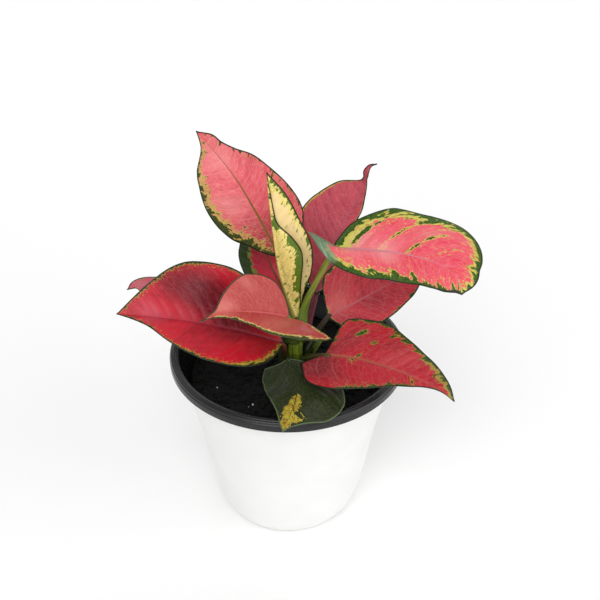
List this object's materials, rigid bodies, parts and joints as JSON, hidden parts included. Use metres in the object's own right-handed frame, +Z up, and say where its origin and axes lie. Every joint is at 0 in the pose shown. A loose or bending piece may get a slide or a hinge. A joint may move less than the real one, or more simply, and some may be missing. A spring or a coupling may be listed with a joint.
{
  "type": "potted chinese evergreen",
  "caption": "Potted foliage plant: upright and spreading pointed pink, red and green leaves on a short cane, growing in peat mix in a round white nursery pot with a dark rolled rim.",
  "frame": {"origin": "the middle of the pot's foot, on the surface that it stands on", "axes": "+Z up along the pot's axis, -Y towards the front of the plant, +X to the right seen from the front"},
  "size_m": [0.2169, 0.1592, 0.2673],
  "materials": {
    "white_polypropylene": "thermoformed, soft satin",
    "black_polypropylene": "thermoformed, satin",
    "peat_mix": "crumbly and dull",
    "green_cane": "smooth green bark",
    "leaf_tall_left_flesh": "soft satin leaf, pink with a green margin",
    "leaf_furled_centre_flesh": "soft satin leaf, cream with green specks",
    "leaf_arching_right_flesh": "satin leaf, bright pink with a green and yellow margin",
    "leaf_back_hooked_flesh": "satin leaf, dusky rose",
    "leaf_back_centre_flesh": "satin leaf, crimson and dark green",
    "leaf_low_left_flesh": "satin leaf, deep crimson",
    "leaf_folded_front_flesh": "satin leaf, salmon red",
    "leaf_low_right_flesh": "satin leaf, red with a speckled margin",
    "leaf_right_flesh": "satin leaf, rose red",
    "leaf_front_drooping_flesh": "satin leaf, dark grey-green",
    "leaf_back_left_flesh": "satin leaf, pink"
  },
  "bodies": {
    "root": {"pot_outer": "white_polypropylene", "pot_inner": "black_polypropylene", "potting_mix": "peat_mix", "cane": "green_cane", "leaf_tall_left": "leaf_tall_left_flesh", "leaf_furled_centre": "leaf_furled_centre_flesh", "leaf_arching_right": "leaf_arching_right_flesh", "leaf_back_hooked": "leaf_back_hooked_flesh", "leaf_back_centre": "leaf_back_centre_flesh", "leaf_low_left": "leaf_low_left_flesh", "leaf_folded_front": "leaf_folded_front_flesh", "leaf_low_right": "leaf_low_right_flesh", "leaf_right": "leaf_right_flesh", "leaf_front_drooping": "leaf_front_drooping_flesh", "leaf_back_left": "leaf_back_left_flesh"}
  },
  "joints": []
}
